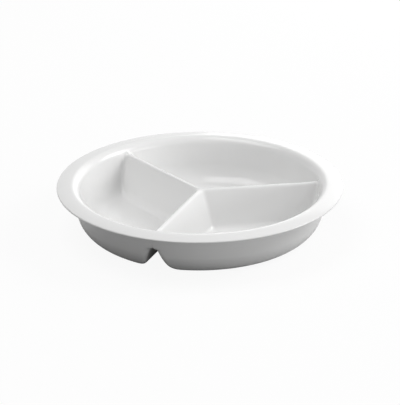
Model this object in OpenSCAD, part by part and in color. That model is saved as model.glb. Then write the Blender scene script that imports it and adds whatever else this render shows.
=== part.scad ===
// Round divided serving pan in glazed porcelain: a flat rim, three equal basins and
// three hollow dividers that meet at a hub. Millimetres, +Z up, base centre at the origin.

/* [Rim] */
// Outside diameter of the rim
rim_d = 390; // [360:1:420]
// Height from the base to the crest of the rim
pan_h = 68; // [60:1:78]
// Width of the rim from its crest to its outer edge
flange_w = 19.5; // [15:0.5:25]
// Thickness of the rim at its round outer edge
flange_t = 3; // [2.5:0.5:5]
// Fall of the rim from its crest to its outer edge
flange_drop = 2.5; // [1:0.5:3.5]

/* [Walls] */
// Thickness of the outer wall
wall_t = 9.5; // [8:0.5:11]
// Thickness of the basin floors
floor_t = 6.5; // [5:0.5:8]
// Lean of the outer wall from upright, in degrees
wall_draft = 11; // [8:0.5:14]
// Radius of the round mouth between the rim and the inside of the wall
mouth_r = 12; // [9:0.5:14]
// Radius inside between the outer wall and the floor
wall_foot_r = 30; // [22:0.5:33]
// Radius of the small fillet between the rim and the outside of the wall
root_r = 2; // [1.5:0.5:4]

/* [Dividers] */
// Thickness of the divider faces
face_t = 6.5; // [5.5:0.5:7.5]
// Depth of the divider ridges below the crest of the rim
ridge_drop = 9.5; // [7:0.5:12]
// Rise of the ridges where they reach the crest of the rim
ridge_lift = 1.5; // [0.5:0.5:4]
// Length of the outer stretch over which a ridge rises
lift_span = 40; // [30:1:60]
// Radius of the round ridge along each divider
ridge_r = 4.3; // [3.8:0.1:5.2]
// Lean of the divider faces from upright, in degrees
face_draft = 23; // [20:1:26]
// Radius inside between a divider face and the floor
face_foot_r = 13; // [9:0.5:16]
// Radius of the round top of the groove under each divider
groove_r = 6.2; // [5.2:0.1:7.2]

/* [Corners] */
// Size of the rounding inside, where a divider face meets the outer wall
corner_in = 6; // [4:0.5:14]
// Size of the rounding outside, where a groove breaks through the outer wall
corner_out = 8; // [6:0.5:14]
// Size of the rounding inside, where two divider faces meet at the hub
hub_in = 5; // [3.5:0.5:8]
// Size of the rounding outside, where two grooves meet under the hub
hub_out = 9; // [6:0.5:12]

/* [Cuts] */
// Width of the strip that each divider takes out of the moulding
divider_w = 28; // [24:1:32]

/* [Hidden] */

// Facets of the smooth forms
fine = 180;
root_steps = 26;
strip_steps = 16;
line_steps = 5;
arc_steps = 28;
hub_rings = 6;
foot_steps = 5;
crown_steps = 6;
mouth_steps = 4;
ridge_crowding = 1.5;
end_crowding = 0.5;

// Limits of the share of a wall's height that its foot arc and its top rounding take
foot_share_max = 0.55;
mouth_share_min = 0.06;
mouth_share_max = 0.3;

// Places of the dividers and of the basins around the axis
sector = 120;
half_sector = sector / 2;
front_divider_at = 270;
right_divider_at = front_divider_at + sector;
left_divider_at = front_divider_at - sector;

// Slope of the soft transition above a ridge or a groove, steep enough to leave the crest round
rise_margin = 1.6;
rise = rise_margin * corner_in / (ridge_drop - ridge_lift);

// Power of the rim's fall, level at the crest and steeper further out
crown_power = 1.5;

porcelain = "whitesmoke";
shade = "gainsboro";

crest_r = rim_d / 2 - flange_w;
under_z = pan_h - flange_drop - flange_t;
cut_d = divider_w / 2;

// Each face of the outer wall as [end radius and end height of its top rounding, its radius,
// foot height, foot radius]
wall_in = [crest_r, pan_h, mouth_r, floor_t, wall_foot_r];
root_z = under_z - root_r * (1 - sin(wall_draft));
root_out_r = lean_r(root_z, wall_in) + wall_t / cos(wall_draft) + root_r * cos(wall_draft);
wall_out = [root_out_r, under_z, root_r, 0, wall_foot_r + floor_t];

// Each face of the divider folds as [ridge height, ridge radius, foot height, foot radius]
ridge_z = pan_h - ridge_drop;
groove_z = ridge_z - ridge_r + groove_r - (groove_r + face_t - ridge_r) / sin(face_draft);
fold_in = [ridge_z, ridge_r, floor_t, face_foot_r];
fold_out = [groove_z, groove_r, 0, face_foot_r + face_t];

// Each skin as [fold, wall, corner rounding, hub rounding, rise of the fold at the crest]
inside = [fold_in, wall_in, corner_in, hub_in, ridge_lift];
outside = [fold_out, wall_out, corner_out, hub_out, 0];

// Where the rim ring is cut from the bowl, and where each divider starts at the hub
cut_r = max(crest_r, root_out_r);
hub_t = cut_d / tan(half_sector);
hub_span = max(hub_in, hub_out) / sin(half_sector);
steep_t = lean_r(floor_t, wall_in) - wall_foot_r - corner_in;
basin_mid_r = (hub_t + crest_r) / 2;
edge_r = flange_t / 2;
edge_mid_r = rim_d / 2 - edge_r;

// Shares of the way along a strip near the hub, and up the wall at its outer end
hub_shares = [0, 0.4, 1];
end_shares = [0.02, 0.12, 0.35, 0.65, 0.85, 0.95, 1];

// Smaller of two values, with the change between them rounded over the span c
function soft_min(a, b, c) = min(a, b) - pow(max(c - abs(a - b), 0), 2) / (4 * c);

// Radius of the leaning part of a wall at height z
function lean_r(z, wall) =
    let (start_z = wall[1] - wall[2] * (1 - sin(wall_draft)))
    wall[0] - wall[2] * cos(wall_draft) - (start_z - z) * tan(wall_draft);

// Radius of a wall at height z: foot arc, leaning part, top rounding
function wall_r(z, wall) =
    let (
        top_r = wall[2],
        foot_r = wall[4],
        lean_top = wall[1] - top_r * (1 - sin(wall_draft)),
        lean_foot = wall[3] + foot_r * (1 - sin(wall_draft)),
        foot_mid = lean_r(lean_foot, wall) - foot_r * cos(wall_draft)
    )
    z > lean_top ? wall[0] - sqrt(max(pow(top_r, 2) - pow(z - wall[1] + top_r, 2), 0))
    : z > lean_foot ? lean_r(z, wall)
    : foot_mid + sqrt(max(pow(foot_r, 2) - pow(z - wall[3] - foot_r, 2), 0));

// Half width of a divider fold at height z: foot arc, leaning face, round crown, open above it
function fold_half(z, fold) =
    let (
        crown_r = fold[1],
        foot_r = fold[3],
        crown_mid = fold[0] - crown_r,
        lean_top = crown_mid + crown_r * sin(face_draft),
        lean_foot = fold[2] + foot_r * (1 - sin(face_draft)),
        lean_d = crown_r * cos(face_draft) + (lean_top - max(z, lean_foot)) * tan(face_draft)
    )
    z > fold[0] ? -rise * (z - fold[0])
    : z > lean_top ? sqrt(max(pow(crown_r, 2) - pow(z - crown_mid, 2), 0))
    : z > lean_foot ? lean_d
    : lean_d + foot_r * cos(face_draft) - sqrt(max(pow(foot_r, 2) - pow(z - fold[2] - foot_r, 2), 0));

// Share of a fold's rise at the radius r
function lift(r) = pow(max(1 - (crest_r - r) / lift_span, 0), 2);

// How far a point lies inside the outline that a skin has at height z
function room(p, z, skin) =
    let (
        r = norm(p),
        turn_in = (atan2(p.y, p.x) + 360) % sector,
        beside = soft_min(r * sin(turn_in), r * sin(sector - turn_in), skin[3])
    )
    soft_min(beside - fold_half(z - skin[4] * lift(r), skin[0]), wall_r(z, skin[1]) - r, skin[2]);

// Height of a skin over a point, by halving
function skin_z(p, skin, low, high, steps = root_steps) =
    steps == 0 ? (low + high) / 2
    : room(p, (low + high) / 2, skin) >= 0 ? skin_z(p, skin, low, (low + high) / 2, steps - 1)
    : skin_z(p, skin, (low + high) / 2, high, steps - 1);

// Height of the top of the rim at the radius r
function flange_z(r) = pan_h - flange_drop * pow((r - crest_r) / (edge_mid_r - crest_r), crown_power);

// Height of a skin over a point, with the rim's own face past the end of the wall
function top_z(p) =
    norm(p) >= crest_r ? flange_z(norm(p)) : skin_z(p, inside, floor_t, pan_h);
function under_side_z(p) =
    norm(p) >= root_out_r ? under_z : skin_z(p, outside, 0, under_z);

// Share of the way from a to b at which a skin reaches height z, by halving
function reach(a, b, z, skin, low = 0, high = 1, steps = root_steps) =
    let (mid = (low + high) / 2)
    steps == 0 ? mid
    : room(a + mid * (b - a), z, skin) >= 0 ? reach(a, b, z, skin, mid, high, steps - 1)
    : reach(a, b, z, skin, low, mid, steps - 1);

// Point of a skin at height z between a and b, which is b itself at the full share of the climb
function ring_point(a, b, z, share, skin) =
    lifted(share == 1 ? b : a + reach(a, b, z, skin) * (b - a), z);

function turned(p, angle) = [p.x * cos(angle) - p.y * sin(angle), p.x * sin(angle) + p.y * cos(angle)];
function lifted(p, z) = [p.x, p.y, z];

// Shares from 0 to 1, closer together at both ends
function crowded(count) =
    [for (i = [0 : count - 1]) i / count - end_crowding * sin(360 * i / count) / (2 * PI)];

// Points of a skin along the strip line at offset d, from the hub out to the cut of the rim
function strip_line(d, skin, end_z, base_z) =
    let (
        near = [steep_t, d],
        end = [sqrt(pow(cut_r, 2) - pow(d, 2)), d]
    )
    [for (s = end_shares)
        ring_point(near, end, base_z + s * (end_z - base_z), s, skin)];

// Shares of a wall's height: close along the foot arc and along the rounding at the top
function wall_shares(wall) =
    let (
        span = wall[1] - wall[3],
        foot = min(wall[4] / span, foot_share_max),
        mouth = min(max(wall[2] / span, mouth_share_min), mouth_share_max)
    )
    concat(
        [for (i = [0 : foot_steps]) foot * (1 - cos(90 * i / foot_steps))],
        [(1 + foot - mouth) / 2],
        [for (i = [0 : mouth_steps]) 1 - mouth * (1 - sin(90 * i / mouth_steps))]
    );

// Triangles of a stack of closed rings, with a point at each end
function stack_faces(rings, count) =
    let (last = rings * count + 1)
    concat(
        [for (k = [0 : count - 1]) [0, 1 + (k + 1) % count, 1 + k]],
        [for (i = [0 : rings - 2], k = [0 : count - 1])
            let (a = 1 + i * count + k, b = 1 + i * count + (k + 1) % count)
            each [[a, b, b + count], [a, b + count, a + count]]],
        [for (k = [0 : count - 1])
            let (base = 1 + (rings - 1) * count)
            [last, base + k, base + (k + 1) % count]]
    );

// Triangles of a closed tube of rectangular rings, flat at both ends
function tube_faces(rings, count) =
    concat(
        [for (i = [0 : rings - 2], k = [0 : count - 1])
            let (a = i * count + k, b = i * count + (k + 1) % count)
            each [[a, b, b + count], [a, b + count, a + count]]],
        [for (k = [0 : count / 2 - 2])
            each [[k, count - 1 - k, k + 1], [k + 1, count - 1 - k, count - 2 - k]]],
        [for (k = [0 : count / 2 - 2])
            let (s = (rings - 1) * count)
            each [
                [s + k, s + k + 1, s + count - 1 - k],
                [s + k + 1, s + count - 2 - k, s + count - 1 - k]
            ]]
    );

// Offsets across a divider strip, close together on the ridge
strip_d = [for (i = [0 : strip_steps])
    let (share = 2 * i / strip_steps - 1)
    cut_d * sign(share) * pow(abs(share), ridge_crowding)];

// Ring of the rim, flat below and gently crowned above, with its round outer edge
module rim_flange() {
    crown = [for (i = [crown_steps : -1 : 0])
        let (r = cut_r + (edge_mid_r - cut_r) * i / crown_steps)
        [r, flange_z(r)]];
    color(porcelain)
        rotate_extrude($fn = fine)
            union() {
                polygon(concat([[cut_r, under_z], [edge_mid_r, under_z]], crown));
                translate([edge_mid_r, under_z + edge_r])
                    circle(r = edge_r);
            }
}

// Floor and outer wall of one basin, between the dividers at the angle at and one sector further on
module basin(at) {
    mid = turned([basin_mid_r, 0], half_sector);
    arc_start = asin(cut_d / cut_r);
    arc_turn = sector - 2 * arc_start;
    plain_t = hub_t + hub_span;
    side_t = concat(
        [for (s = hub_shares) hub_t + s * hub_span],
        [for (i = [1 : line_steps]) plain_t + (steep_t - plain_t) * i / line_steps],
        [for (p = strip_line(cut_d, inside, flange_z(cut_r), top_z([steep_t / 2, cut_d]))) p.x]
    );
    sides = len(side_t);
    edge = concat(
        [for (i = [0 : sides - 2]) [side_t[i], cut_d]],
        [for (s = crowded(arc_steps)) turned([cut_r, 0], arc_start + s * arc_turn)],
        [for (i = [sides - 1 : -1 : 1]) turned([side_t[i], -cut_d], sector)]
    );
    edge_top = [for (p = edge) top_z(p)];
    edge_under = [for (p = edge) under_side_z(p)];
    top_shares = wall_shares(wall_in);
    under_shares = wall_shares(wall_out);
    top_rings = [for (s = top_shares)
        [for (k = [0 : len(edge) - 1])
            let (z = floor_t + s * (edge_top[k] - floor_t))
            ring_point(mid, edge[k], z, s, inside)]];
    under_rings = [for (i = [len(under_shares) - 1 : -1 : 0])
        let (s = under_shares[i])
        [for (k = [0 : len(edge) - 1])
            ring_point(mid, edge[k], s * edge_under[k], s, outside)]];
    rings = concat(top_rings, under_rings);
    points = concat([lifted(mid, floor_t)], [for (ring = rings) each ring], [lifted(mid, 0)]);
    color(porcelain)
        rotate(at)
            polyhedron(points = points, faces = stack_faces(len(rings), len(edge)));
}

// Hollow fold that parts two basins, from the hub out to the rim
module divider(at) {
    hub_ends = [for (s = hub_shares) hub_t + s * hub_span];
    tops = [for (d = strip_d) concat(
        [for (t = hub_ends) [t, d, top_z([t, d])]],
        strip_line(d, inside, flange_z(cut_r), top_z([steep_t / 2, d]))
    )];
    unders = [for (d = strip_d) concat(
        [for (t = hub_ends) [t, d, under_side_z([t, d])]],
        strip_line(d, outside, under_z, under_side_z([steep_t / 2, d]))
    )];
    rings = [for (i = [0 : len(tops[0]) - 1]) concat(
        [for (k = [0 : strip_steps]) tops[k][i]],
        [for (k = [strip_steps : -1 : 0]) unders[k][i]]
    )];
    color(shade)
        rotate(at)
            polyhedron(
                points = [for (ring = rings) each ring],
                faces = tube_faces(len(rings), len(rings[0]))
            );
}

// Junction of the three dividers over the axis
module divider_hub() {
    axis = [0, 0];
    edge = [for (side = [0 : 2], i = [0 : strip_steps - 1])
        turned([hub_t, strip_d[i]], side * sector)];
    top_rings = [for (i = [1 : hub_rings])
        [for (p = edge * (i / hub_rings)) lifted(p, top_z(p))]];
    under_rings = [for (i = [hub_rings : -1 : 1])
        [for (p = edge * (i / hub_rings)) lifted(p, under_side_z(p))]];
    rings = concat(top_rings, under_rings);
    points = concat(
        [lifted(axis, top_z(axis))],
        [for (ring = rings) each ring],
        [lifted(axis, under_side_z(axis))]
    );
    color(porcelain)
        rotate(right_divider_at)
            polyhedron(points = points, faces = stack_faces(len(rings), len(edge)));
}

module rear_basin() { basin(right_divider_at); }
module left_basin() { basin(left_divider_at); }
module right_basin() { basin(front_divider_at); }
module front_divider() { divider(front_divider_at); }
module left_divider() { divider(left_divider_at); }
module right_divider() { divider(right_divider_at); }

rim_flange();
rear_basin();
left_basin();
right_basin();
front_divider();
left_divider();
right_divider();
divider_hub();
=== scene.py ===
import logging
import math
from dataclasses import dataclass
from enum import Enum
from functools import cached_property

import bpy
import numpy as np
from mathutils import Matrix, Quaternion, Vector


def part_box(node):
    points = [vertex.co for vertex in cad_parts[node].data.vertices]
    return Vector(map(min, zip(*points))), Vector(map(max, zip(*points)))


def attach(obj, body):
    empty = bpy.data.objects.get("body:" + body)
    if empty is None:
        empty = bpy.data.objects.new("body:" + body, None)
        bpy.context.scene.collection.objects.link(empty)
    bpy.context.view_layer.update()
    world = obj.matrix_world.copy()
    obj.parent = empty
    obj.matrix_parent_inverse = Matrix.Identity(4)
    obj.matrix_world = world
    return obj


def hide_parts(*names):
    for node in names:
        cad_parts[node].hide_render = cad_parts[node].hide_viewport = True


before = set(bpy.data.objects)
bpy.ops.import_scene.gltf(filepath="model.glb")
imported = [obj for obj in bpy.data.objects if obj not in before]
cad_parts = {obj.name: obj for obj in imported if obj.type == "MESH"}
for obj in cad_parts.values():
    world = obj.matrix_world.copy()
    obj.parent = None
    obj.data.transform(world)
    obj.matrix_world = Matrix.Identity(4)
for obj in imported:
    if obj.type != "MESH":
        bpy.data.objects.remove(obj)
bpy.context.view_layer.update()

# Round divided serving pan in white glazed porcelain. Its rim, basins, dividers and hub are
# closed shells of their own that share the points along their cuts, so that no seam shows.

log = logging.getLogger("serving_pan")

BODY = "root"

# Steps of the halving that finds a skin, and the distance over which its slope is measured
HALVINGS = 44
PROBE = 1e-6

# Angle between two dividers, and the divider from which angles are counted
SECTOR = math.radians(120.0)
FIRST_DIVIDER = math.radians(30.0)

# Points along a divider: near the hub, on the plain stretch and up the two walls
HUB_POINTS = 13
HUB_CROWDING = 1.5
PLAIN_STEP = 0.0024
LEAST_STEP = 0.00015
FOOT_STEPS, LEAN_STEPS, ROUND_STEPS = 14, 5, 12

# Points across a divider, and along the rim side of a basin
RIDGE_POINTS = 37
RIDGE_CROWDING = 1.4
ARC_POINTS = 128
ARC_CROWDING = 0.5

# Least length by which a vector is divided
TINY = 1e-12

# Detail of the two noises of a fired surface
DRIFT_DETAIL = 3.0
RIPPLE_DETAIL = 1.0

# Size of the photograph's frame in pixels, and the turn from the picture's right to the camera
IMAGE_W = 400
IMAGE_H = 405
CAMERA_TURN = -90.0


class Face(Enum):
    """The two skins of the moulding, each with the direction of its outward normal."""

    INSIDE = 1.0
    OUTSIDE = -1.0


class DividerPlace(Enum):
    """Dividers by the node that they stand for, with their direction from the axis in degrees."""

    right_divider = 30.0
    left_divider = 150.0
    front_divider = 270.0

    @property
    def angle(self) -> float:
        """Direction in radians."""
        return math.radians(self.value)


class BasinPlace(Enum):
    """Basins by the node that they stand for, each with the divider that it starts from."""

    rear_basin = DividerPlace.right_divider
    left_basin = DividerPlace.left_divider
    right_basin = DividerPlace.front_divider


def soft_min(a: np.ndarray, b: np.ndarray, span: float) -> np.ndarray:
    """Smaller of two values, with the change between them rounded.

    Where the two differ by less than the span, a parabola that touches both replaces the corner.

    Args:
        a: First values.
        b: Second values.
        span: Difference over which the corner is rounded.

    Returns:
        The rounded smaller values.
    """
    near = np.maximum(span - np.abs(a - b), 0.0)
    return np.minimum(a, b) - near ** 2 / (4.0 * span)


def arc_rise(z: np.ndarray, middle: float, radius: float) -> np.ndarray:
    """Half chord of a circle at height z, which is zero above and below the circle."""
    return np.sqrt(np.maximum(radius ** 2 - (z - middle) ** 2, 0.0))


def turned(points: np.ndarray, angle: float) -> np.ndarray:
    """Plan points turned about the axis.

    Args:
        points: Plan points, with x and y last.
        angle: Turn in radians.

    Returns:
        The turned points in the same layout.
    """
    c, s = math.cos(angle), math.sin(angle)
    x, y = points[..., 0], points[..., 1]
    return np.stack([x * c - y * s, x * s + y * c], axis=-1)


def lifted(plan: np.ndarray, z: np.ndarray) -> np.ndarray:
    """Plan points joined with their heights."""
    return np.concatenate([plan, np.broadcast_to(z, plan.shape[:-1])[..., None]], axis=-1)


def crowded(count: int, crowding: float) -> np.ndarray:
    """Shares strictly between 0 and 1, closer together at both ends.

    Args:
        count: Number of shares.
        crowding: 0 for even steps, towards 1 for ever closer steps at the ends.

    Returns:
        Even steps minus a full sine wave of that size.
    """
    share = np.arange(1, count + 1) / (count + 1)
    return share - crowding * np.sin(2 * np.pi * share) / (2 * np.pi)


@dataclass(frozen=True)
class Wall:
    """Round outer wall of one skin: a foot arc, a leaning part and a rounding at the top.

    Attributes:
        end_r: Radius at which the top rounding runs out level.
        end_z: Height at which the top rounding runs out level.
        round_r: Radius of the top rounding.
        foot_z: Height of the level floor at the foot.
        foot_r: Radius of the foot arc.
        lean: Lean from upright in radians.
    """

    end_r: float
    end_z: float
    round_r: float
    foot_z: float
    foot_r: float
    lean: float

    @property
    def lean_top(self) -> float:
        """Height at which the leaning part meets the top rounding."""
        return self.end_z - self.round_r * (1 - math.sin(self.lean))

    @property
    def lean_foot(self) -> float:
        """Height at which the leaning part meets the foot arc."""
        return self.foot_z + self.foot_r * (1 - math.sin(self.lean))

    def lean_radius(self, z: np.ndarray) -> np.ndarray:
        """Radius of the leaning part, carried on as a straight line, at height z."""
        start_r = self.end_r - self.round_r * math.cos(self.lean)
        return start_r - (self.lean_top - z) * math.tan(self.lean)

    def radius(self, z: np.ndarray) -> np.ndarray:
        """Radius of the wall at each height.

        Args:
            z: Heights.

        Returns:
            The top circle above lean_top, the foot circle below lean_foot, a line between them.
        """
        foot_mid = self.lean_radius(self.lean_foot) - self.foot_r * math.cos(self.lean)
        top = self.end_r - arc_rise(z, self.end_z - self.round_r, self.round_r)
        foot = foot_mid + arc_rise(z, self.foot_z + self.foot_r, self.foot_r)
        return np.where(z > self.lean_top, top, np.where(z > self.lean_foot, self.lean_radius(z), foot))

    def stations(self, foot_steps: int, lean_steps: int, round_steps: int) -> np.ndarray:
        """Heights up the wall, in steps of equal turn along its two arcs.

        Args:
            foot_steps: Steps along the foot arc.
            lean_steps: Steps up the leaning part.
            round_steps: Steps along the top rounding.

        Returns:
            Heights from the foot to the end of the top rounding.
        """
        turn = math.pi / 2 - self.lean
        foot = self.foot_z + self.foot_r * (1 - np.cos(np.linspace(0, turn, foot_steps + 1)))
        lean = np.linspace(self.lean_foot, self.lean_top, lean_steps + 1)
        top = self.end_z - self.round_r * (1 - np.cos(np.linspace(turn, 0, round_steps + 1)))
        return np.concatenate([foot, lean[1:-1], top])


@dataclass(frozen=True)
class Fold:
    """Inverted V of a divider on one skin: foot arcs, leaning faces and a round crown.

    Attributes:
        crown_z: Height of the crown.
        crown_r: Radius of the crown.
        foot_z: Height of the level floor at the foot.
        foot_r: Radius of the foot arc.
        lean: Lean of the faces from upright in radians.
        rise: Growth of the open width above the crown.
    """

    crown_z: float
    crown_r: float
    foot_z: float
    foot_r: float
    lean: float
    rise: float

    def half_width(self, z: np.ndarray) -> np.ndarray:
        """Half width of the fold at each height.

        Args:
            z: Heights.

        Returns:
            The crown's circle at the top, a leaning line below it and a foot circle that runs out
            level, and above the crown a negative width that grows with the height.
        """
        crown_mid = self.crown_z - self.crown_r
        lean_top = crown_mid + self.crown_r * math.sin(self.lean)
        lean_foot = self.foot_z + self.foot_r * (1 - math.sin(self.lean))
        start = self.crown_r * math.cos(self.lean)
        face = start + (lean_top - np.maximum(z, lean_foot)) * math.tan(self.lean)
        foot = face + self.foot_r * math.cos(self.lean) - arc_rise(z, self.foot_z + self.foot_r, self.foot_r)
        crown = arc_rise(z, crown_mid, self.crown_r)
        closed = np.where(z > lean_top, crown, np.where(z > lean_foot, face, foot))
        return np.where(z > self.crown_z, -self.rise * (z - self.crown_z), closed)


@dataclass(frozen=True)
class Skin:
    """One skin of the moulding, as the outline that it has at each height.

    Attributes:
        face: Which of the two skins it is.
        fold: Cross section of the dividers.
        wall: Cross section of the outer wall.
        corner: Rounding between a divider and the wall.
        hub: Rounding between two dividers.
        lift: Rise of the folds where they reach the rim.
        lift_end: Radius at which the rise is full.
        lift_span: Length over which the folds rise.
    """

    face: Face
    fold: Fold
    wall: Wall
    corner: float
    hub: float
    lift: float
    lift_end: float
    lift_span: float

    def room(self, plan: np.ndarray, z: np.ndarray) -> np.ndarray:
        """How far plan points lie inside the outline at height z.

        It is the rounded smaller of the distance to the nearer divider face and to the wall.

        Args:
            plan: Plan points, with x and y last.
            z: Heights.

        Returns:
            Distances, negative outside the outline.
        """
        r = np.hypot(plan[..., 0], plan[..., 1])
        turn = np.mod(np.arctan2(plan[..., 1], plan[..., 0]) - FIRST_DIVIDER, SECTOR)
        beside = soft_min(r * np.sin(turn), r * np.sin(SECTOR - turn), self.hub)
        up = self.lift * np.maximum(1 - (self.lift_end - r) / self.lift_span, 0.0) ** 2
        return soft_min(beside - self.fold.half_width(z - up), self.wall.radius(z) - r, self.corner)

    def height(self, plan: np.ndarray) -> np.ndarray:
        """Height of the skin over plan points, by halving the span between its foot and its top.

        Args:
            plan: Plan points, with x and y last.

        Returns:
            Lowest heights at which the points lie inside the outline.
        """
        low = np.full(plan.shape[:-1], self.wall.foot_z)
        high = np.full(plan.shape[:-1], self.wall.end_z)
        for _ in range(HALVINGS):
            middle = (low + high) / 2
            free = self.room(plan, middle) >= 0
            high = np.where(free, middle, high)
            low = np.where(free, low, middle)
        return (low + high) / 2

    def reach(self, start: np.ndarray, end: np.ndarray, z: np.ndarray) -> np.ndarray:
        """Plan points where straight lines from start to end leave the outline at height z.

        Args:
            start: Plan point inside the outline.
            end: Plan points on or outside the outline.
            z: Heights.

        Returns:
            Plan points, one for each height and end.
        """
        low = np.zeros(z.shape)
        high = np.ones(z.shape)
        for _ in range(HALVINGS):
            middle = (low + high) / 2
            free = self.room(start + middle[..., None] * (end - start), z) >= 0
            low = np.where(free, middle, low)
            high = np.where(free, high, middle)
        return start + low[..., None] * (end - start)

    def normals(self, points: np.ndarray) -> np.ndarray:
        """Outward unit normals at points of the skin.

        The normal is the slope of the room, measured over a short step on each side, and upright
        on the level floor and where the wall has run out level.

        Args:
            points: Points of the skin, with x, y and z last.

        Returns:
            Unit normals in the same layout.
        """
        slope = np.empty(points.shape)
        for axis, step in enumerate(np.eye(3) * PROBE):
            ahead, behind = (self.room(p[..., :2], p[..., 2]) for p in (points + step, points - step))
            slope[..., axis] = ahead - behind
        r = np.hypot(points[..., 0], points[..., 1])
        level = (points[..., 2] < self.wall.foot_z + PROBE) | (r > self.wall.end_r - PROBE)
        slope[level] = (0.0, 0.0, 1.0)
        return self.face.value * slope / np.linalg.norm(slope, axis=-1, keepdims=True)


@dataclass(frozen=True)
class Mould:
    """Sizes of the moulding in metres, and what follows from them.

    The first four come from the solid model, and the rest repeat the sizes that it was drawn with.

    Attributes:
        rim_r: Outside radius of the rim.
        pan_h: Height of the crest of the rim.
        under_z: Height of the underside of the rim.
        strip_half: Half width of the strip that each divider takes.
        flange_w: Width of the rim from its crest to its edge.
        edge_t: Thickness of the rim at its round edge.
        wall_t: Thickness of the outer wall.
        face_t: Thickness of the divider faces.
        floor_t: Thickness of the floors.
        wall_lean: Lean of the outer wall.
        mouth_r: Radius between the rim and the inside of the wall.
        wall_foot_r: Radius between the wall and the floor.
        root_r: Fillet between the rim and the outside of the wall.
        ridge_drop: Depth of the ridges below the crest.
        ridge_lift: Rise of the ridges at the crest.
        lift_span: Length over which the ridges rise.
        ridge_r: Radius of the ridges.
        face_lean: Lean of the divider faces.
        face_foot_r: Radius between a divider face and the floor.
        groove_r: Radius of the top of the groove under a divider.
        corner_in: Rounding between a divider and the wall, inside.
        corner_out: Rounding between a groove and the wall, outside.
        hub_in: Rounding between two dividers, inside.
        hub_out: Rounding between two grooves, outside.
        rise_margin: How much steeper the open space above a ridge grows than the crest needs.
    """

    rim_r: float
    pan_h: float
    under_z: float
    strip_half: float
    flange_w: float = 0.0195
    edge_t: float = 0.003
    wall_t: float = 0.0095
    face_t: float = 0.0065
    floor_t: float = 0.0065
    wall_lean: float = math.radians(11.0)
    mouth_r: float = 0.012
    wall_foot_r: float = 0.030
    root_r: float = 0.002
    ridge_drop: float = 0.0095
    ridge_lift: float = 0.0015
    lift_span: float = 0.040
    ridge_r: float = 0.0043
    face_lean: float = math.radians(23.0)
    face_foot_r: float = 0.013
    groove_r: float = 0.0062
    corner_in: float = 0.006
    corner_out: float = 0.008
    hub_in: float = 0.005
    hub_out: float = 0.009
    rise_margin: float = 1.6

    @classmethod
    def from_frame(cls) -> "Mould":
        """Mould with its main sizes read from the solid model."""
        rim_low, rim_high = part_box("rim_flange")
        strip_low, strip_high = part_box(DividerPlace.front_divider.name)
        return cls(
            rim_r=(rim_high.y - rim_low.y) / 2,
            pan_h=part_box(BasinPlace.rear_basin.name)[1].z,
            under_z=rim_low.z,
            strip_half=(strip_high.x - strip_low.x) / 2,
        )

    @property
    def crest_r(self) -> float:
        """Radius of the crest of the rim."""
        return self.rim_r - self.flange_w

    @property
    def cut_r(self) -> float:
        """Radius of the cut between the rim and the bowl."""
        return max(self.crest_r, self.outside.wall.end_r)

    @property
    def hub_t(self) -> float:
        """Distance from the axis at which the dividers start."""
        return self.strip_half / math.tan(SECTOR / 2)

    @cached_property
    def inside(self) -> Skin:
        """Skin that holds the food."""
        wall = Wall(self.crest_r, self.pan_h, self.mouth_r, self.floor_t, self.wall_foot_r, self.wall_lean)
        rise = self.rise_margin * self.corner_in / (self.ridge_drop - self.ridge_lift)
        ridge_z = self.pan_h - self.ridge_drop
        fold = Fold(ridge_z, self.ridge_r, self.floor_t, self.face_foot_r, self.face_lean, rise)
        return self.skin(Face.INSIDE, fold, wall, self.corner_in, self.hub_in, self.ridge_lift)

    @cached_property
    def outside(self) -> Skin:
        """Skin of the underside, as far from the inside skin as the wall, faces and floor are thick."""
        lean, inner = self.wall_lean, self.inside
        root_z = self.under_z - self.root_r * (1 - math.sin(lean))
        root_r = inner.wall.lean_radius(root_z) + self.wall_t / math.cos(lean) + self.root_r * math.cos(lean)
        wall = Wall(root_r, self.under_z, self.root_r, 0.0, self.wall_foot_r + self.floor_t, lean)
        spread = (self.groove_r + self.face_t - self.ridge_r) / math.sin(self.face_lean)
        groove_z = inner.fold.crown_z - self.ridge_r + self.groove_r - spread
        foot_r = self.face_foot_r + self.face_t
        fold = Fold(groove_z, self.groove_r, 0.0, foot_r, self.face_lean, inner.fold.rise)
        return self.skin(Face.OUTSIDE, fold, wall, self.corner_out, self.hub_out, 0.0)

    def skin(self, face: Face, fold: Fold, wall: Wall, corner: float, hub: float, lift: float) -> Skin:
        """Skin whose folds rise by the lift over the outer stretch of each divider."""
        return Skin(face, fold, wall, corner, hub, lift, self.crest_r, self.lift_span)

    @cached_property
    def strip_t(self) -> np.ndarray:
        """Distances along the edge of a divider strip at which it is sampled.

        They step evenly over the plain stretch, closer at the hub, and with equal turns along the
        arcs of both walls.
        """
        hub_end = self.hub_t + max(self.hub_in, self.hub_out) / math.sin(SECTOR / 2)
        hub = self.hub_t + (hub_end - self.hub_t) * np.linspace(0, 1, HUB_POINTS) ** HUB_CROWDING
        end = math.sqrt(self.cut_r ** 2 - self.strip_half ** 2)
        walls = (self.inside.wall, self.outside.wall)
        heights = [wall.stations(FOOT_STEPS, LEAN_STEPS, ROUND_STEPS) for wall in walls]
        radii = np.concatenate([wall.radius(z) for wall, z in zip(walls, heights)])
        outer = np.sqrt(radii ** 2 - self.strip_half ** 2)
        plain = np.arange(hub_end, outer.min(), PLAIN_STEP)
        every = np.sort(np.concatenate([hub, plain, outer[outer < end], [end]]))
        apart = np.append(np.diff(every) > LEAST_STEP, True)
        return every[apart]

    @cached_property
    def strip_d(self) -> np.ndarray:
        """Offsets across a divider strip, closer together on the ridge."""
        share = np.linspace(-1, 1, RIDGE_POINTS)
        return self.strip_half * np.sign(share) * np.abs(share) ** RIDGE_CROWDING

    @cached_property
    def arc_turns(self) -> np.ndarray:
        """Angles along the rim side of a basin, from the divider that it starts from."""
        start = math.asin(self.strip_half / self.cut_r)
        return start + crowded(ARC_POINTS, ARC_CROWDING) * (SECTOR - 2 * start)


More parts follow.
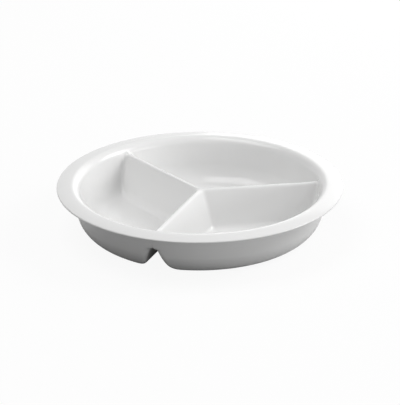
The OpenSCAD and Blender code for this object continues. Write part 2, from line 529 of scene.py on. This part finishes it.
class Shell:
    """Closed mesh in the making: points, faces and one normal for each face corner."""

    def __init__(self) -> None:
        """Starts with nothing in it."""
        self.points: list[np.ndarray] = []
        self.faces: list[np.ndarray] = []
        self.normals: list[np.ndarray] = []
        self.bare: list[np.ndarray] = []
        self.count = 0

    def add_points(self, points: np.ndarray) -> np.ndarray:
        """Adds a grid of points.

        Args:
            points: Points in any layout, with x, y and z last.

        Returns:
            Their numbers in the mesh, in the same layout.
        """
        flat = points.reshape(-1, 3)
        numbers = self.count + np.arange(len(flat)).reshape(points.shape[:-1])
        self.points.append(flat)
        self.count += len(flat)
        return numbers

    def add_faces(self, faces: np.ndarray, normals: np.ndarray | None = None, bare: bool = False) -> None:
        """Adds faces with the same number of corners.

        Args:
            faces: Point numbers, one row for each face.
            normals: Normals of the corners, or None for flat faces.
            bare: Whether the faces carry no glaze.
        """
        faces = faces.reshape(-1, faces.shape[-1])
        if normals is None:
            corners = np.concatenate(self.points)[faces]
            across = np.cross(corners[:, 2] - corners[:, 0], corners[:, -1] - corners[:, 1])
            flat = across / np.maximum(np.linalg.norm(across, axis=1, keepdims=True), TINY)
            normals = np.repeat(flat[:, None], faces.shape[1], axis=1)
        self.faces.append(faces)
        self.normals.append(normals.reshape(-1, 3))
        self.bare.append(np.full(len(faces), bare))

    def add_quads(self, numbers: np.ndarray, normals: np.ndarray | None, wrap: bool = False,
                  flip: bool = False, bare: bool = False) -> None:
        """Adds the four-sided faces between neighbouring points of a grid.

        Args:
            numbers: Point numbers as rows and columns.
            normals: Normals of the points in the same layout, or None for flat faces.
            wrap: Whether the last column joins the first.
            flip: Whether the faces turn the other way.
            bare: Whether the faces carry no glaze.
        """
        def corners(grid: np.ndarray) -> np.ndarray:
            """Four neighbours of each grid cell, in order round the cell."""
            wide = np.concatenate([grid, grid[:, :1]], axis=1) if wrap else grid
            cells = [wide[:-1, :-1], wide[:-1, 1:], wide[1:, 1:], wide[1:, :-1]]
            return np.stack(cells[::-1] if flip else cells, axis=2)

        self.add_faces(corners(numbers), None if normals is None else corners(normals), bare)

    def add_fan(self, middle: int, ring: np.ndarray, normal: np.ndarray, flip: bool = False,
                bare: bool = False) -> None:
        """Adds triangles from a point to a closed ring, all with the same normal.

        Args:
            middle: Number of the point.
            ring: Numbers of the ring's points.
            normal: Normal of all the corners.
            flip: Whether the faces turn the other way.
            bare: Whether the faces carry no glaze.
        """
        fan = np.stack([np.full(len(ring), middle), ring, np.roll(ring, -1)], axis=1)
        fan = fan[:, ::-1] if flip else fan
        self.add_faces(fan, np.broadcast_to(normal, fan.shape + (3,)), bare)

    def to_object(self, name: str) -> bpy.types.Object:
        """Makes the mesh and its object.

        Args:
            name: Name of the object.

        Returns:
            The object, at the origin, in the scene.
        """
        mesh = bpy.data.meshes.new(name)
        faces = [row for block in self.faces for row in block.tolist()]
        mesh.from_pydata(np.concatenate(self.points).tolist(), [], faces)
        mesh.polygons.foreach_set("material_index", np.concatenate(self.bare).astype(np.int32))
        mesh.shade_smooth()
        mesh.normals_split_custom_set(np.concatenate(self.normals).tolist())
        mesh.update()
        piece = bpy.data.objects.new(name, mesh)
        bpy.context.scene.collection.objects.link(piece)
        return piece


@dataclass(frozen=True)
class Rim:
    """Flat rim ring with a low crown and a round outer edge.

    Attributes:
        mould: Sizes of the moulding.
        node: Node that it stands for.
        crown_power: Power of the share of the width with which the top falls.
        crown_steps: Steps across the top.
        edge_steps: Steps round the outer edge.
        seat_steps: Steps across the underside.
    """

    mould: Mould
    node: str = "rim_flange"
    crown_power: float = 1.5
    crown_steps: int = 24
    edge_steps: int = 20
    seat_steps: int = 8

    def angles(self) -> np.ndarray:
        """Angles round the rim at which the dividers and basins have points."""
        m = self.mould
        strip = np.arcsin(m.strip_d / m.cut_r)
        sector = np.concatenate([strip, m.arc_turns])
        return np.concatenate([place.angle + sector for place in DividerPlace])

    def profile(self) -> tuple[np.ndarray, np.ndarray]:
        """Cross section from the crest over the edge to the root of the wall.

        The top falls with a power of the share of its width, so that it is level at the crest. The
        edge is a circle that it runs into, and the seat a level line.

        Returns:
            Radii with heights, and the outward normals there.
        """
        m = self.mould
        edge_r = m.edge_t / 2
        edge_mid = np.array([m.rim_r - edge_r, m.under_z + edge_r])
        drop = m.pan_h - m.under_z - m.edge_t
        tilt = math.atan(self.crown_power * drop / (edge_mid[0] - m.crest_r))
        end = edge_mid + edge_r * np.array([math.sin(tilt), math.cos(tilt)])
        width, fall = end[0] - m.crest_r, m.pan_h - end[1]
        share = np.linspace((m.cut_r - m.crest_r) / width, 1, self.crown_steps)[:-1]
        crown = np.stack([m.crest_r + share * width, m.pan_h - fall * share ** self.crown_power], axis=1)
        slope = self.crown_power * fall / width * share ** (self.crown_power - 1)
        crown_n = np.stack([slope, np.ones(len(share))], axis=1)
        turn = np.linspace(math.pi / 2 - tilt, -math.pi / 2, self.edge_steps)
        round_n = np.stack([np.cos(turn), np.sin(turn)], axis=1)
        seat_r = np.linspace(edge_mid[0], m.cut_r, self.seat_steps)[1:]
        seat = np.stack([seat_r, np.full(len(seat_r), m.under_z)], axis=1)
        seat_n = np.broadcast_to((0.0, -1.0), seat.shape)
        normals = np.concatenate([crown_n, round_n, seat_n])
        normals = normals / np.linalg.norm(normals, axis=1, keepdims=True)
        return np.concatenate([crown, edge_mid + edge_r * round_n, seat]), normals

    def build(self) -> bpy.types.Object:
        """Carries the cross section round the axis and closes it with the cut at the bowl."""
        shell = Shell()
        section, section_n = self.profile()
        turn = self.angles()
        ring = np.stack([np.cos(turn), np.sin(turn)], axis=1)

        def swept(pairs: np.ndarray) -> np.ndarray:
            """Pairs of radius and height carried round the axis, as rows along the section."""
            return lifted(pairs[:, None, :1] * ring[None], pairs[:, None, 1])

        numbers = shell.add_points(swept(section))
        shell.add_quads(numbers, swept(section_n), wrap=True, flip=True)
        shell.add_quads(numbers[[-1, 0]], None, wrap=True, flip=True)
        return shell.to_object(self.node)


@dataclass(frozen=True)
class Basin:
    """Floor and outer wall of one compartment, cut from the dividers and from the rim.

    Attributes:
        mould: Sizes of the moulding.
        place: Which basin it is.
        floor_rings: Rings across the level floor.
        foot_steps: Rings along the foot arc.
        lean_steps: Rings up the leaning part.
        round_steps: Rings along the rounding at the top.
    """

    mould: Mould
    place: BasinPlace
    floor_rings: int = 4
    foot_steps: int = 16
    lean_steps: int = 7
    round_steps: int = 14

    @property
    def node(self) -> str:
        """Node that it stands for."""
        return self.place.name

    def outline(self) -> np.ndarray:
        """Plan points round the basin: out along one divider, along the rim and back."""
        m, start = self.mould, self.place.value.angle
        out = turned(np.stack([m.strip_t, np.full(len(m.strip_t), m.strip_half)], axis=1), start)
        back = np.stack([m.strip_t, np.full(len(m.strip_t), -m.strip_half)], axis=1)
        back = turned(back, start + SECTOR)[:0:-1]
        turn = start + m.arc_turns
        arc = m.cut_r * np.stack([np.cos(turn), np.sin(turn)], axis=1)
        return np.concatenate([out, arc, back])

    def rings(self, skin: Skin, middle: np.ndarray, edge: np.ndarray) -> np.ndarray:
        """Rings of one skin, from the edge of the level floor up to the cuts.

        Every ring stands at the same share of the climb all round, and each of its points is where
        the line from the middle to the edge meets the skin at that height.

        Args:
            skin: The skin.
            middle: Plan point at the middle of the floor.
            edge: Points of the cuts, with x, y and z last.

        Returns:
            Points as rings and places round the basin.
        """
        wall = skin.wall
        climb = wall.stations(self.foot_steps, self.lean_steps, self.round_steps) - wall.foot_z
        share = climb[:-1, None] / climb[-1]
        z = wall.foot_z + share * (edge[:, 2] - wall.foot_z)
        plan = skin.reach(middle, edge[None, :, :2], z)
        return np.concatenate([lifted(plan, z), edge[None]])

    def add_skin(self, shell: Shell, skin: Skin) -> np.ndarray:
        """Adds one skin with its level floor.

        Args:
            shell: Mesh that it goes into.
            skin: The skin.

        Returns:
            Numbers of the points along the cuts.
        """
        under = skin.face is Face.OUTSIDE
        m = self.mould
        mid_r = (m.hub_t + m.crest_r) / 2
        mid_turn = self.place.value.angle + SECTOR / 2
        middle = mid_r * np.array([math.cos(mid_turn), math.sin(mid_turn)])
        plan = self.outline()
        rings = self.rings(skin, middle, lifted(plan, skin.height(plan)))
        share = np.linspace(0, 1, self.floor_rings + 1)[1:-1, None, None]
        centre = lifted(middle, np.array(skin.wall.foot_z))
        floor = centre + share * (rings[:1] - centre)
        level = np.array([0.0, 0.0, skin.face.value])
        floor_numbers = shell.add_points(floor)
        wall_numbers = shell.add_points(rings)
        centre_number = int(shell.add_points(centre[None])[0])
        shell.add_fan(centre_number, floor_numbers[0], level, flip=under, bare=under)
        across = np.concatenate([floor_numbers, wall_numbers[:1]])
        shell.add_quads(across, np.broadcast_to(level, across.shape + (3,)), True, not under, under)
        shell.add_quads(wall_numbers, skin.normals(rings), True, not under)
        return wall_numbers[-1]

    def build(self) -> bpy.types.Object:
        """Makes both skins and closes them along the cuts."""
        shell = Shell()
        top = self.add_skin(shell, self.mould.inside)
        under = self.add_skin(shell, self.mould.outside)
        shell.add_quads(np.stack([top, under]), None, wrap=True, flip=True)
        return shell.to_object(self.node)


@dataclass(frozen=True)
class Divider:
    """Hollow fold between two basins, from the hub out to the rim.

    Attributes:
        mould: Sizes of the moulding.
        place: Which divider it is.
    """

    mould: Mould
    place: DividerPlace

    @property
    def node(self) -> str:
        """Node that it stands for."""
        return self.place.name

    def plan(self) -> np.ndarray:
        """Plan grid of the strip, whose rows bend from straight at the hub to circles at the rim."""
        m = self.mould
        t, d = m.strip_t[:, None], m.strip_d[None]
        circle = np.sqrt(t ** 2 + m.strip_half ** 2 - d ** 2)
        bend = np.clip((t - m.hub_t) / (m.cut_r - m.wall_foot_r - m.hub_t), 0, 1) ** 2
        end = t == m.strip_t[-1]
        along = np.where(end, circle, t + bend * (circle - t))
        return turned(np.stack([along, np.broadcast_to(d, along.shape)], axis=-1), self.place.angle)

    def build(self) -> bpy.types.Object:
        """Makes both skins and closes them along the four cuts."""
        shell = Shell()
        plan = self.plan()
        grids = []
        for skin in (self.mould.inside, self.mould.outside):
            points = lifted(plan, skin.height(plan))
            numbers = shell.add_points(points)
            shell.add_quads(numbers, skin.normals(points), flip=skin.face is Face.INSIDE)
            grids.append(numbers)
        top, under = (np.concatenate([g[0], g[1:, -1], g[-1, -2::-1], g[-2:0:-1, 0]]) for g in grids)
        shell.add_quads(np.stack([top, under]), None, wrap=True)
        return shell.to_object(self.node)


@dataclass(frozen=True)
class Hub:
    """Three-way junction of the dividers over the axis.

    Attributes:
        mould: Sizes of the moulding.
        node: Node that it stands for.
        rings: Rings from the axis to the cuts.
    """

    mould: Mould
    node: str = "divider_hub"
    rings: int = 14

    def outline(self) -> np.ndarray:
        """Plan points round the junction, one side for each divider."""
        m = self.mould
        side = np.stack([np.full(len(m.strip_d), m.hub_t), m.strip_d], axis=1)[:-1]
        return np.concatenate([turned(side, place.angle) for place in DividerPlace])

    def build(self) -> bpy.types.Object:
        """Makes both skins as rings that grow from the axis and closes them along the cuts."""
        shell = Shell()
        share = np.linspace(0, 1, self.rings + 1)[1:, None, None]
        plan = share * self.outline()
        axis = np.zeros((1, 2))
        cuts = []
        for skin in (self.mould.inside, self.mould.outside):
            under = skin.face is Face.OUTSIDE
            points = lifted(plan, skin.height(plan))
            numbers = shell.add_points(points)
            middle = int(shell.add_points(lifted(axis, skin.height(axis)))[0])
            shell.add_fan(middle, numbers[0], np.array([0.0, 0.0, skin.face.value]), flip=under)
            shell.add_quads(numbers, skin.normals(points), True, not under)
            cuts.append(numbers[-1])
        shell.add_quads(np.stack(cuts), None, wrap=True, flip=True)
        return shell.to_object(self.node)


def fired_surface() -> bpy.types.NodeTree:
    """Node group for the unevenness of a fired surface.

    Wide noise gives a slow drift of tone, and fine noise the ripple of a glaze that has run.

    Returns:
        A group with Drift and Ripple as values about one half.
    """
    group = bpy.data.node_groups.new("fired_surface", "ShaderNodeTree")
    group.interface.new_socket("Drift Scale", in_out="INPUT", socket_type="NodeSocketFloat")
    group.interface.new_socket("Ripple Scale", in_out="INPUT", socket_type="NodeSocketFloat")
    group.interface.new_socket("Drift", in_out="OUTPUT", socket_type="NodeSocketFloat")
    group.interface.new_socket("Ripple", in_out="OUTPUT", socket_type="NodeSocketFloat")
    nodes, links = group.nodes, group.links
    entry = nodes.new("NodeGroupInput")
    leave = nodes.new("NodeGroupOutput")
    place = nodes.new("ShaderNodeTexCoord")
    for name, detail in (("Drift", DRIFT_DETAIL), ("Ripple", RIPPLE_DETAIL)):
        noise = nodes.new("ShaderNodeTexNoise")
        noise.inputs["Detail"].default_value = detail
        links.new(place.outputs["Object"], noise.inputs["Vector"])
        links.new(entry.outputs[f"{name} Scale"], noise.inputs["Scale"])
        links.new(noise.outputs["Fac"], leave.inputs[name])
    return group


@dataclass(frozen=True)
class Finish:
    """Fired ceramic surface.

    Attributes:
        name: Name of the material.
        pale: Colour where the tone drifts up.
        deep: Colour where the tone drifts down.
        smooth: Roughness where it is smoothest.
        rough: Roughness where it is roughest.
        drift_scale: Patches of tone for each metre.
        ripple_scale: Ripples for each metre.
        ripple_height: Height of the ripples in metres.
        ior: Index of refraction.
    """

    name: str
    pale: tuple[float, float, float]
    deep: tuple[float, float, float]
    smooth: float
    rough: float
    drift_scale: float
    ripple_scale: float
    ripple_height: float
    ior: float = 1.5

    def material(self, surface: bpy.types.NodeTree) -> bpy.types.Material:
        """Makes the material.

        Args:
            surface: The node group for the unevenness of a fired surface.

        Returns:
            A material whose colour, roughness and normal follow the group's two values.
        """
        material = bpy.data.materials.new(self.name)
        material.use_nodes = True
        nodes, links = material.node_tree.nodes, material.node_tree.links
        shader = nodes["Principled BSDF"]
        shader.inputs["IOR"].default_value = self.ior
        uneven = nodes.new("ShaderNodeGroup")
        uneven.node_tree = surface
        uneven.inputs["Drift Scale"].default_value = self.drift_scale
        uneven.inputs["Ripple Scale"].default_value = self.ripple_scale
        tone = nodes.new("ShaderNodeMix")
        tone.data_type = "RGBA"
        tone.inputs["A"].default_value = (*self.deep, 1.0)
        tone.inputs["B"].default_value = (*self.pale, 1.0)
        links.new(uneven.outputs["Drift"], tone.inputs["Factor"])
        links.new(tone.outputs["Result"], shader.inputs["Base Color"])
        polish = nodes.new("ShaderNodeMapRange")
        polish.inputs["To Min"].default_value = self.smooth
        polish.inputs["To Max"].default_value = self.rough
        links.new(uneven.outputs["Drift"], polish.inputs["Value"])
        links.new(polish.outputs["Result"], shader.inputs["Roughness"])
        bump = nodes.new("ShaderNodeBump")
        bump.inputs["Distance"].default_value = self.ripple_height
        links.new(uneven.outputs["Ripple"], bump.inputs["Height"])
        links.new(bump.outputs["Normal"], shader.inputs["Normal"])
        return material


GLAZE = Finish(
    name="white_glaze", pale=(0.89, 0.89, 0.886), deep=(0.86, 0.86, 0.856), smooth=0.1, rough=0.18,
    drift_scale=9.0, ripple_scale=160.0, ripple_height=0.00004,
)
BARE = Finish(
    name="bare_porcelain", pale=(0.76, 0.75, 0.72), deep=(0.68, 0.67, 0.64), smooth=0.55, rough=0.75,
    drift_scale=60.0, ripple_scale=1500.0, ripple_height=0.00005,
)


@dataclass(frozen=True)
class Lamp:
    """Soft rectangular lamp that faces the pan.

    Attributes:
        name: Name of the lamp.
        azimuth: Direction in plan, in degrees, from the right of the picture towards its back.
        elevation: Height above the table, in degrees.
        distance: Distance from the pan in metres.
        size: Sides of the lamp in metres.
        power: Power in watts.
    """

    name: str
    azimuth: float
    elevation: float
    distance: float
    size: tuple[float, float]
    power: float


@dataclass(frozen=True)
class Studio:
    """Camera, pale floor and soft light.

    Attributes:
        azimuth: Camera's turn about the axis, in degrees.
        elevation: Camera's height above the table, in degrees.
        roll: Camera's turn about its own view line, in degrees.
        distance: Camera's distance in metres.
        focal_px: Focal length in pixels of the photograph.
        sensor_mm: Width of the camera's sensor in millimetres.
        aim_z: Height on the axis that lies in the middle of the picture.
        floor_half: Half side of the floor.
        floor_gap: Depth of the floor below the faces that the pan stands on.
        floor_tone: Grey of the floor as a reflector of light.
        floor_pale: Grey of the floor as the camera and reflections see it.
        floor_white: Share of plain white that is mixed into what is seen of it.
        shadow_span: Distances from the axis between which reflections of the floor turn from shadow to white.
        ambient: Strength of the light from all round.
        lamps: The lamps.
    """

    azimuth: float = 22.0
    elevation: float = 23.05
    roll: float = -0.4
    distance: float = 4.0
    focal_px: float = 2930.0
    sensor_mm: float = 36.0
    aim_z: float = 0.0385
    floor_half: float = 6.0
    floor_gap: float = 0.0001
    floor_tone: float = 0.25
    floor_pale: float = 0.95
    floor_white: float = 0.92
    shadow_span: tuple[float, float] = (0.17, 0.24)
    ambient: float = 0.28
    lamps: tuple[Lamp, ...] = (
        Lamp("side", 8.0, 35.0, 3.0, (1.6, 1.3), 37.8),
        Lamp("low_right", -30.0, 10.0, 3.0, (2.4, 0.6), 21.5),
        Lamp("left_high", 180.0, 70.0, 2.6, (1.6, 1.6), 24.5),
        Lamp("back", 67.0, 20.0, 1.3, (1.08, 0.69), 2.3),
    )

    def direction(self, turn: float, rise: float) -> Vector:
        """Unit vector from the pan, with the turn counted from the picture's right to its back.

        Args:
            turn: Turn in degrees.
            rise: Height in degrees.

        Returns:
            The direction in the model's frame.
        """
        plan = math.radians(self.azimuth + turn)
        up = math.radians(rise)
        return Vector((math.cos(plan) * math.cos(up), math.sin(plan) * math.cos(up), math.sin(up)))

    def camera(self) -> bpy.types.Object:
        """Camera at the photograph's angle, aimed at the axis of the pan."""
        data = bpy.data.cameras.new("camera")
        data.sensor_width = self.sensor_mm
        data.lens = self.focal_px * self.sensor_mm / max(IMAGE_W, IMAGE_H)
        obj = bpy.data.objects.new("camera", data)
        aim = Vector((0.0, 0.0, self.aim_z))
        away = self.direction(CAMERA_TURN, self.elevation)
        roll = Quaternion((0.0, 0.0, 1.0), math.radians(self.roll))
        obj.location = aim + self.distance * away
        obj.rotation_euler = (away.to_track_quat("Z", "Y") @ roll).to_euler()
        bpy.context.scene.collection.objects.link(obj)
        bpy.context.scene.camera = obj
        return obj

    def combined(
        self,
        tree: bpy.types.NodeTree,
        operation: str,
        first: bpy.types.NodeSocket,
        second: bpy.types.NodeSocket | float,
    ) -> bpy.types.NodeSocket:
        """Product, larger or other result of two values in a shader.

        Args:
            tree: Node tree that the node goes into.
            operation: What is worked out, as the Math node names it.
            first: First value.
            second: Second value, linked or plain.

        Returns:
            The result's output socket.
        """
        node = tree.nodes.new("ShaderNodeMath")
        node.operation = operation
        tree.links.new(first, node.inputs[0])
        if isinstance(second, float):
            node.inputs[1].default_value = second
        else:
            tree.links.new(second, node.inputs[1])
        return node.outputs[0]

    def seen(
        self, tree: bpy.types.NodeTree, mirror_share: bpy.types.NodeSocket | float = 1.0
    ) -> bpy.types.NodeSocket:
        """Value of one where the camera looks, and zero for light that falls on other surfaces.

        Args:
            tree: Node tree that the nodes go into.
            mirror_share: Value for what is seen in a reflection or through a clear body.

        Returns:
            The output socket.
        """
        rays = tree.nodes.new("ShaderNodeLightPath").outputs
        mirrored = self.combined(tree, "MAXIMUM", rays["Is Glossy Ray"], rays["Is Transmission Ray"])
        shared = self.combined(tree, "MULTIPLY", mirrored, mirror_share)
        return self.combined(tree, "MAXIMUM", rays["Is Camera Ray"], shared)

    def floor(self) -> bpy.types.Object:
        """Level pale floor that looks white and still keeps the pan's shadow."""
        h, z = self.floor_half, -self.floor_gap
        mesh = bpy.data.meshes.new("floor")
        mesh.from_pydata([(-h, -h, z), (h, -h, z), (h, h, z), (-h, h, z)], [], [(0, 1, 2, 3)])
        obj = bpy.data.objects.new("floor", mesh)
        material = bpy.data.materials.new("pale_paper")
        material.use_nodes = True
        tree = material.node_tree
        nodes, links = tree.nodes, tree.links
        nodes.remove(nodes["Principled BSDF"])
        seen_paper, paper = (nodes.new("ShaderNodeBsdfDiffuse") for _ in range(2))
        seen_paper.inputs["Color"].default_value = (self.floor_pale,) * 3 + (1.0,)
        paper.inputs["Color"].default_value = (self.floor_tone,) * 3 + (1.0,)
        white = nodes.new("ShaderNodeEmission")
        look, both = (nodes.new("ShaderNodeMixShader") for _ in range(2))
        away = nodes.new("ShaderNodeVectorMath")
        away.operation = "LENGTH"
        links.new(nodes.new("ShaderNodeTexCoord").outputs["Object"], away.inputs[0])
        clear = nodes.new("ShaderNodeMapRange")
        clear.interpolation_type = "SMOOTHSTEP"
        clear.inputs["From Min"].default_value, clear.inputs["From Max"].default_value = self.shadow_span
        links.new(away.outputs["Value"], clear.inputs["Value"])
        share = self.combined(tree, "MULTIPLY", self.seen(tree, clear.outputs["Result"]), self.floor_white)
        links.new(share, look.inputs["Fac"])
        links.new(seen_paper.outputs["BSDF"], look.inputs[1])
        links.new(white.outputs["Emission"], look.inputs[2])
        links.new(self.seen(tree), both.inputs["Fac"])
        links.new(paper.outputs["BSDF"], both.inputs[1])
        links.new(look.outputs["Shader"], both.inputs[2])
        links.new(both.outputs["Shader"], nodes["Material Output"].inputs["Surface"])
        mesh.materials.append(material)
        bpy.context.scene.collection.objects.link(obj)
        return obj

    def world(self) -> None:
        """White all round for what is seen, and a weaker even light for the rest."""
        world = bpy.data.worlds.new("studio")
        bpy.context.scene.world = world
        world.use_nodes = True
        tree = world.node_tree
        sky = tree.nodes["Background"]
        sky.inputs["Color"].default_value = (1.0, 1.0, 1.0, 1.0)
        level = tree.nodes.new("ShaderNodeMapRange")
        level.inputs["To Min"].default_value = self.ambient
        level.inputs["To Max"].default_value = 1.0
        tree.links.new(self.seen(tree), level.inputs["Value"])
        tree.links.new(level.outputs["Result"], sky.inputs["Strength"])

    def light(self, lamp: Lamp) -> bpy.types.Object:
        """Places one lamp so that it faces the pan.

        Args:
            lamp: The lamp.

        Returns:
            The lamp's object.
        """
        data = bpy.data.lights.new(lamp.name, "AREA")
        data.shape = "RECTANGLE"
        data.size, data.size_y = lamp.size
        data.energy = lamp.power
        obj = bpy.data.objects.new(lamp.name, data)
        away = self.direction(lamp.azimuth, lamp.elevation)
        obj.location = lamp.distance * away
        obj.rotation_euler = away.to_track_quat("Z", "Y").to_euler()
        bpy.context.scene.collection.objects.link(obj)
        return obj

    def build(self) -> None:
        """Sets the whole studio up."""
        bpy.context.scene.view_settings.view_transform = "Standard"
        self.camera()
        self.floor()
        self.world()
        for lamp in self.lamps:
            self.light(lamp)


def dress(piece: bpy.types.Object, node: str, materials: list[bpy.types.Material]) -> None:
    """Gives a piece its materials and its place in the frame.

    Args:
        piece: The piece.
        node: Node that it stands for.
        materials: Materials in the order of the faces' numbers.
    """
    for material in materials:
        piece.data.materials.append(material)
    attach(piece, BODY)
    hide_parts(node)
    log.info("%s: %d points, %d faces", piece.name, len(piece.data.vertices), len(piece.data.polygons))


def main() -> None:
    """Builds and dresses the pan, piece by piece, and sets up the studio."""
    logging.basicConfig(level=logging.INFO, format="%(message)s")
    mould = Mould.from_frame()
    surface = fired_surface()
    materials = [finish.material(surface) for finish in (GLAZE, BARE)]
    pieces = [Rim(mould), Hub(mould)]
    pieces += [Basin(mould, place) for place in BasinPlace]
    pieces += [Divider(mould, place) for place in DividerPlace]
    for part in pieces:
        dress(part.build(), part.node, materials)
    Studio().build()


if __name__ == "__main__":
    main()
